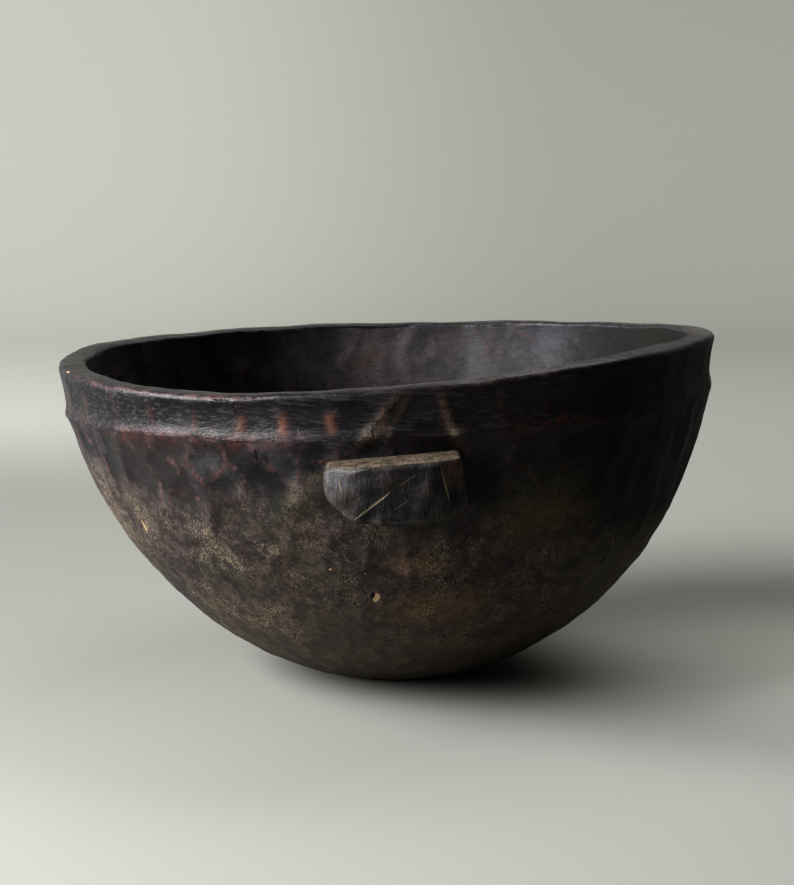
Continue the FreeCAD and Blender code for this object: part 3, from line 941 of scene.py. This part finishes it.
def wall_wood():
    """The wall's outside: smooth patina above, and a dusty lower body full of fine scratches."""
    n = Nodes(bpy.data.materials.new("wall_wood"))
    height = n.split()[2]
    fibres, pores = grain_fields(n)
    broad = n.noise(14, 3, 0.5)
    patch = n.noise(52, 4, 0.62)
    small = n.noise(190, 4, 0.65)
    fuzz = n.noise(760, 4, 0.75)
    curly = curly_scratches(n)
    straight = straight_scratches(n)
    tone = n.value("tone")
    low = n.span(wander(n, height, broad, 0.075), 0.126, 0.098)
    foot = n.span(wander(n, height, patch, 0.020), 0.034, 0.022)

    colour = upper_patina(n, broad, patch, small, low)
    colour = n.tint(colour, low, 0.90, lower_ground(n, small, tone))

    # flecks, warm patches and fine scratches, most of them on the paler cuts and none on the foot
    worked = n.total((tone, 0.22), (patch, 0.40), (small, 0.38))
    pale = n.both(n.both(n.span(worked, 0.34, 0.66), low), n.rest(n.both(foot, 0.8)))
    flecks = n.both(n.span(fuzz, 0.48, 0.66), n.total((pale, 0.90), (low, 0.15)))
    colour = n.tint(colour, flecks, 0.27, FLECK)
    warm = n.most(n.spot((24, -127, 60), (38, 42, 17), (0, -4, 0), ragged=16, edge=0.9),
                  n.spot((13, -139, 84), (20, 32, 8), (0, 4, 0), ragged=12, edge=0.9))
    colour = n.tint(colour, n.both(warm, n.span(fuzz, 0.34, 0.56)), 0.85, WARM_EARTH)
    marks = n.most(n.both(curly, n.span(small, 0.44, 0.58, 0.0, 0.8)),
                   n.both(straight, n.span(patch, 0.40, 0.54)))
    marks = n.both(marks, n.total((pale, 0.72), (low, 0.20)))
    colour = n.blend(marks, colour, n.blend(n.span(patch, 0.40, 0.60), GREY_SCRATCH, TAN_SCRATCH))
    bands = n.noise(1.0, 3, 0.6, n.stretch((9, 9, 520)))
    colour = n.tint(colour, n.both(foot, n.span(bands, 0.45, 0.65)), 0.60, FOOT_BAND)
    colour = n.tint(colour, n.span(pores, 0.56, 0.68), 0.50, VOID_AND_PAINTED_SHADOW)
    colour = n.tint(colour, n.both(curly, n.span(patch, 0.58, 0.72)), 0.25, DUST)
    # painted shade on the wall's front right, which is turned from the light
    colour, painted_shade_mask = painted_shade_and_ledge(n, colour, patch, small)

    # dust on the ridges over the lug and on the fan to its left, the olive patch, and a painted shadow to its
    # right
    dust = dust_cover(n, fuzz, small, 0.58)
    colour = n.tint(colour, dust, 0.50, DUST)
    olive = n.both(n.spot((72, -138, 108), (40, 44, 30), ragged=24, edge=0.95), n.span(fuzz, 0.36, 0.60))
    colour = n.tint(colour, olive, 0.80, OLIVE)
    # painted shadow: the lug's cast shadow on the wall to its right, painted black
    painted_lug_shadow = n.spot((44, -165, 125), (19, 30, 20), ragged=8, edge=0.7)
    colour = n.tint(colour, painted_lug_shadow, 0.90, VOID_AND_PAINTED_SHADOW)
    colour, pits = add_marks(n, colour, WALL_CHIPS, WALL_CRACKS)

    # dust, scratches and the painted shade at the front right are rougher
    dull = n.most(n.most(dust, marks), painted_shade_mask)
    roughness = n.total(n.span(patch, 0.3, 0.7, 0.34, 0.50), (low, 0.16), (dull, 0.25), clamp=True)
    normal = n.bumps([
        (patch, 0.5),
        (n.total(fibres, (pores, -0.5)), 0.20),
        (n.both(fuzz, n.total((low, 0.7), 0.3)), 0.26),
        (marks, 0.12),
        (n.both(pits, -1.0), 0.6),
    ])
    n.finish(colour, roughness, normal)
    return n.material


def hollow_wood():
    """The hollow: smooth and nearly black, with painted light at the back, painted shade on its right side
    and brown-red worn places.
    """
    n = Nodes(bpy.data.materials.new("hollow_wood"))
    fibres, pores = grain_fields(n)
    broad = n.noise(12, 3, 0.5)
    patch = n.noise(38, 4, 0.6)
    small = n.noise(180, 3, 0.6)
    fuzz = n.noise(1100, 2, 0.6)
    colour = n.blend(n.span(broad, 0.4, 0.6), COAL, HOLLOW_UMBER)
    # painted light: the back of the hollow, which faces the light, is made lighter
    painted_light_back = n.spot((-15, 160, 150), (115, 70, 50), ragged=40, edge=0.95)
    colour = n.blend(n.both(painted_light_back, n.span(patch, 0.34, 0.60, 0.45, 1.0)), colour, HOLLOW_PAINTED_LIGHT)
    colour = n.tint(colour, n.both(n.value("arris"), n.span(patch, 0.46, 0.60)), 0.55, HOLLOW_RUST)
    colour = n.tint(colour, n.span(patch, 0.58, 0.70), 0.50, HOLLOW_BROWN)
    colour = n.tint(colour, n.span(fibres, 0.54, 0.72), 0.40, FILM)
    colour = n.tint(colour, n.span(pores, 0.56, 0.70), 0.50, VOID_AND_PAINTED_SHADOW)
    colour = n.tint(colour, n.span(small, 0.62, 0.74), 0.30, HOLLOW_SPECK)
    # painted shade: the hollow's right side, away from the light, is darkened and made rougher
    painted_shade_side = n.spot((165, 65, 135), (110, 120, 95), ragged=30, edge=0.65)
    colour = n.tint(colour, painted_shade_side, 0.90, HOLLOW_PAINTED_SHADE)
    uneven = n.span(n.total((patch, 0.6), (small, 0.4)), 0.36, 0.64, 0.47, 0.61)
    roughness = n.total(uneven, (painted_shade_side, 0.26), clamp=True)
    normal = n.bumps([(patch, 0.6), (fibres, 0.18), (n.math("SUBTRACT", fuzz, pores), 0.05)])
    n.finish(colour, roughness, normal, 0.17)
    return n.material


def lug_wood():
    """The grip lug: dark face with end-on grain, worn brown edges, a dusty top and pale cuts."""
    n = Nodes(bpy.data.materials.new("lug_wood"))
    streaks = n.noise(1.0, 4, 0.6, n.stretch((900, 500, 120)))
    _, pores = grain_fields(n)
    patch = n.noise(70, 4, 0.62)
    small = n.noise(240, 4, 0.65)
    fuzz = n.noise(900, 3, 0.7)
    scratches = n.most(curly_scratches(n), straight_scratches(n))
    colour = n.blend(n.span(patch, 0.40, 0.62), COAL, UMBER)
    colour = n.tint(colour, n.span(streaks, 0.50, 0.68), 0.42, FILM)
    colour = n.tint(colour, n.span(pores, 0.55, 0.68), 0.60, VOID_AND_PAINTED_SHADOW)
    worn_edge = n.both(n.value("arris"), n.span(small, 0.38, 0.58, 0.2, 1.0))
    colour = n.tint(colour, worn_edge, 0.55, LUG_EDGE)
    colour = n.tint(colour, n.both(scratches, n.span(patch, 0.46, 0.62)), 0.45, LUG_SCRATCH)
    corner = n.spot((29, -187, 134), (7, 12, 11), (0, -12, 0), ragged=5, edge=0.6)
    colour = n.tint(colour, n.both(corner, n.span(small, 0.35, 0.60, 0.35, 1.0)), 0.75, LUG_CORNER)
    colour = n.tint(colour, n.both(n.value("root"), n.span(small, 0.40, 0.60)), 0.45, LUG_ROOT_DUST)
    dusty = n.span(n.total((fuzz, 0.5), (small, 0.5)), 0.38, 0.56, 0.2, 1.0)
    dust = n.both(n.value("dust"), dusty)
    colour = n.tint(colour, dust, 0.47, DUST)
    cuts = functools.reduce(n.most, [n.both(n.spot(centre, size, turn, ragged=0.7), strength)
                                     for centre, size, turn, strength in LUG_LINES])
    colour = n.blend(cuts, colour, LUG_CUT)
    roughness = n.total(n.span(small, 0.3, 0.7, 0.36, 0.54), (dust, 0.25), clamp=True)
    normal = n.bumps([(patch, 0.6), (streaks, 0.24), (fuzz, 0.12), (n.both(cuts, -1.0), 0.3)])
    n.finish(colour, roughness, normal)
    return n.material


# Marks, each as a centre, half sizes and a turn in degrees. The lug's lines have a strength too.
WALL_CHIPS = (
    ((-7.0, -133.4, 66.6), (2.1, 4.0, 3.9), (0, 16, 0)),
    ((-28.3, -140.9, 81.6), (0.9, 4.0, 0.7), (0, -20, 0)),
    ((-121.5, -87.5, 92.0), (0.5, 4.0, 5.0), (0, -24, 0)),
    ((-12.0, -142.0, 79.5), (0.5, 4.0, 0.4), (0, 0, 0)),
)
WALL_CRACKS = (
    ((-8.3, -133.7, 67.6), (1.3, 4.0, 2.5), (0, 16, 0)),
    ((-61.0, -155.0, 137.5), (0.5, 6.0, 3.4), (0, -12, 0)),
)
RIM_CHIPS = (
    ((-162.5, -64.7, 165.6), (3.0, 3.0, 1.2), (0, 10, 0)),
)
BAND_CRACKS = (
    ((-71.2, -156.3, 160.5), (0.45, 6.0, 2.6), (0, 20, 0)),
    ((-70.2, -156.6, 156.0), (0.40, 6.0, 3.2), (0, -18, 0)),
    ((-71.6, -156.1, 152.6), (0.40, 6.0, 2.0), (0, 24, 0)),
    ((-70.0, -156.8, 158.0), (2.6, 6.0, 0.35), (0, 8, 0)),
    ((-73.0, -155.0, 154.2), (2.2, 6.0, 0.32), (0, -6, 0)),
    ((-76.5, -154.0, 162.6), (5.5, 6.0, 0.40), (0, 4, 0)),
)
LUG_LINES = (
    ((-7.8, -188, 120.4), (0.60, 9.0, 12.3), (0, 51, 0), 0.80),
    ((7.5, -188, 131.9), (0.35, 9.0, 6.8), (0, 58, 0), 0.25),
    ((4.2, -188, 120.3), (0.30, 9.0, 4.6), (0, 57, 0), 0.40),
    ((-22.3, -186, 128.5), (0.35, 9.0, 3.4), (0, -14, 0), 0.70),
    ((24.4, -188, 128.6), (0.60, 9.0, 11.6), (0, -14, 0), 0.70),
    ((-20.6, -187, 115.5), (0.30, 9.0, 3.6), (0, -12, 0), 0.60),
)


# ------------------------------------------------------------------------------------------ stage

# Linear colours of the paper, each from the left to the right, and of the drapes. The paper's tones are
# painted light and shade.
PAPER_NEAR = (0.266, 0.263, 0.239), (0.222, 0.220, 0.200)
PAPER_MIDDLE = (0.178, 0.176, 0.160), (0.235, 0.232, 0.211)
PAPER_FAR = (0.320, 0.317, 0.288), (0.250, 0.247, 0.225)
PAPER_PAINTED_LIGHT = (0.520, 0.515, 0.470)
DRAPE = (0.040, 0.040, 0.038)


def paper():
    """Paper with painted light and shade: its tone shifts from left to right, it is darker in a strip behind
    the bowl, and it is lighter where the bowl's shadow falls to its right. The walls in front and to the
    right are dark drapes.
    """
    n = Nodes(bpy.data.materials.new("paper"))
    x, y, z = n.split()
    # painted light and shade: the paper's tone follows the light's falloff, with a darker strip behind the
    # bowl
    across = n.span(x, -0.45, 0.35)
    near = n.blend(n.span(x, -0.20, 0.30), *PAPER_NEAR)
    middle = n.blend(across, *PAPER_MIDDLE)
    far = n.blend(across, *PAPER_FAR)
    colour = n.blend(n.span(y, -0.30, 0.15), near, middle)
    colour = n.blend(n.span(y, 0.45, 1.0), colour, far)
    # painted light: the bowl's shadow on the paper to its right is lifted
    painted_light_patch = n.spot((290, 10, 0), (290, 190, 200), edge=1.0)
    colour = n.blend(painted_light_patch, colour, PAPER_PAINTED_LIGHT)
    front_right = n.total((x, 0.6), (y, -0.8))
    drape = n.both(n.span(front_right, -0.4, 1.3), n.span(z, 0.10, 0.80))
    colour = n.blend(drape, colour, DRAPE)
    n.finish(colour, 0.9, n.bumps([(n.noise(300, 2, 0.5), 0.02)]), 0.1)
    return n.material


def make_stage():
    """A pale floor that curves up into a backdrop all the way round, so every view has the same ground."""
    flat, bend, wall = 1.75, 0.9, 3.2
    profile = [(0.001, 0.0)] + [(flat * part, 0.0) for part in np.linspace(0.1, 1, 10)]
    profile += [(flat + bend * math.sin(a), bend * (1 - math.cos(a)))
                for a in np.linspace(0.08, math.pi / 2, 22)]
    profile += [(flat + bend, bend + (wall - bend) * part) for part in np.linspace(0.1, 1, 8)]
    count = 128
    points = [(r * math.cos(a), r * math.sin(a), z)
              for r, z in profile for a in np.arange(count) * 2 * math.pi / count]
    mesh = bpy.data.meshes.new("studio_floor")
    mesh.from_pydata(points, [], ring_faces(len(profile), count, False).tolist())
    mesh.polygons.foreach_set("use_smooth", np.ones(len(mesh.polygons), dtype=bool))
    mesh.materials.append(paper())
    floor = bpy.data.objects.new("studio_floor", mesh)
    bpy.context.scene.collection.objects.link(floor)


def aim(thing, target):
    """Turns a light or camera so that its -Z looks at target."""
    way = Vector(target) - thing.location
    thing.rotation_euler = way.to_track_quat("-Z", "Y").to_euler()


# Name, place, target, size, power, colour and spread in degrees. The window is the only strong light.
LIGHTS = (
    ("window_light", (-1.72, -0.62, 0.98), (0.05, 0.0, 0.1), (1.7, 1.5), 156, (0.96, 0.98, 1.0), 180),
    ("backdrop_light", (-1.5, 1.3, 2.3), (-1.1, 2.65, 0.8), (1.0, 0.8), 11, (1.0, 1.0, 1.0), 110),
    ("far_light", (0.95, 1.1, 1.9), (0.25, 0.0, 0.0), (1.7, 1.7), 30, (0.98, 0.99, 1.0), 180),
)


def soft_light(name, position, target, size, power, colour, spread):
    """A rectangular light that the camera doesn't see."""
    lamp = bpy.data.lights.new(name, "AREA")
    lamp.shape = "RECTANGLE"
    lamp.size, lamp.size_y = size
    lamp.energy = power
    lamp.color = colour
    lamp.spread = math.radians(spread)
    thing = bpy.data.objects.new(name, lamp)
    thing.location = position
    aim(thing, target)
    thing.visible_camera = False
    bpy.context.scene.collection.objects.link(thing)


def make_lights():
    for light in LIGHTS:
        soft_light(*light)
    world = bpy.data.worlds.new("room")
    world.use_nodes = True
    background = world.node_tree.nodes["Background"]
    background.inputs["Color"].default_value = (0.95, 0.97, 1.0, 1.0)
    background.inputs["Strength"].default_value = 0.03
    bpy.context.scene.world = world


CAMERA_PLACE = (3.0, -1055, 282.3)      # mm
CAMERA_DOWN = 0.153                     # radians below level
CAMERA_LENS = 81.36                     # mm, with a sensor 36 mm wide


def make_camera():
    """The camera stands in front, a little above the rim, and looks slightly down."""
    camera = bpy.data.cameras.new("camera")
    camera.sensor_width = 36.0
    camera.lens = CAMERA_LENS
    camera.clip_end = 50
    thing = bpy.data.objects.new("camera", camera)
    thing.location = [c * MM for c in CAMERA_PLACE]
    thing.rotation_euler = (math.pi / 2 - CAMERA_DOWN, 0, 0)
    bpy.context.scene.collection.objects.link(thing)
    bpy.context.scene.camera = thing


# ------------------------------------------------------------------------------------------ scene

bpy.context.scene.view_settings.view_transform = "Standard"
bpy.context.scene.view_settings.look = "High Contrast"
make_stage()
make_lights()
make_camera()

wall_skin = wall_wood()
band_skin = band_wood()
hollow_skin = hollow_wood()
lug_skin = lug_wood()

PIECES = (
    (bowl_wall_piece((wall_skin, hollow_skin)), "bowl_wall", "wood_wall"),
    (rim_band_piece((band_skin, hollow_skin)), "rim_band", "wood_band"),
    (lug_piece("grip_lug_front", 0, 51, (lug_skin,)), "front_lug", "wood_lug"),
    (lug_piece("grip_lug_rear", 180, 61, (lug_skin,)), "rear_lug", "wood_lug"),
)
for piece, node, slot in PIECES:
    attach(piece, "root")
    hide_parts(node)
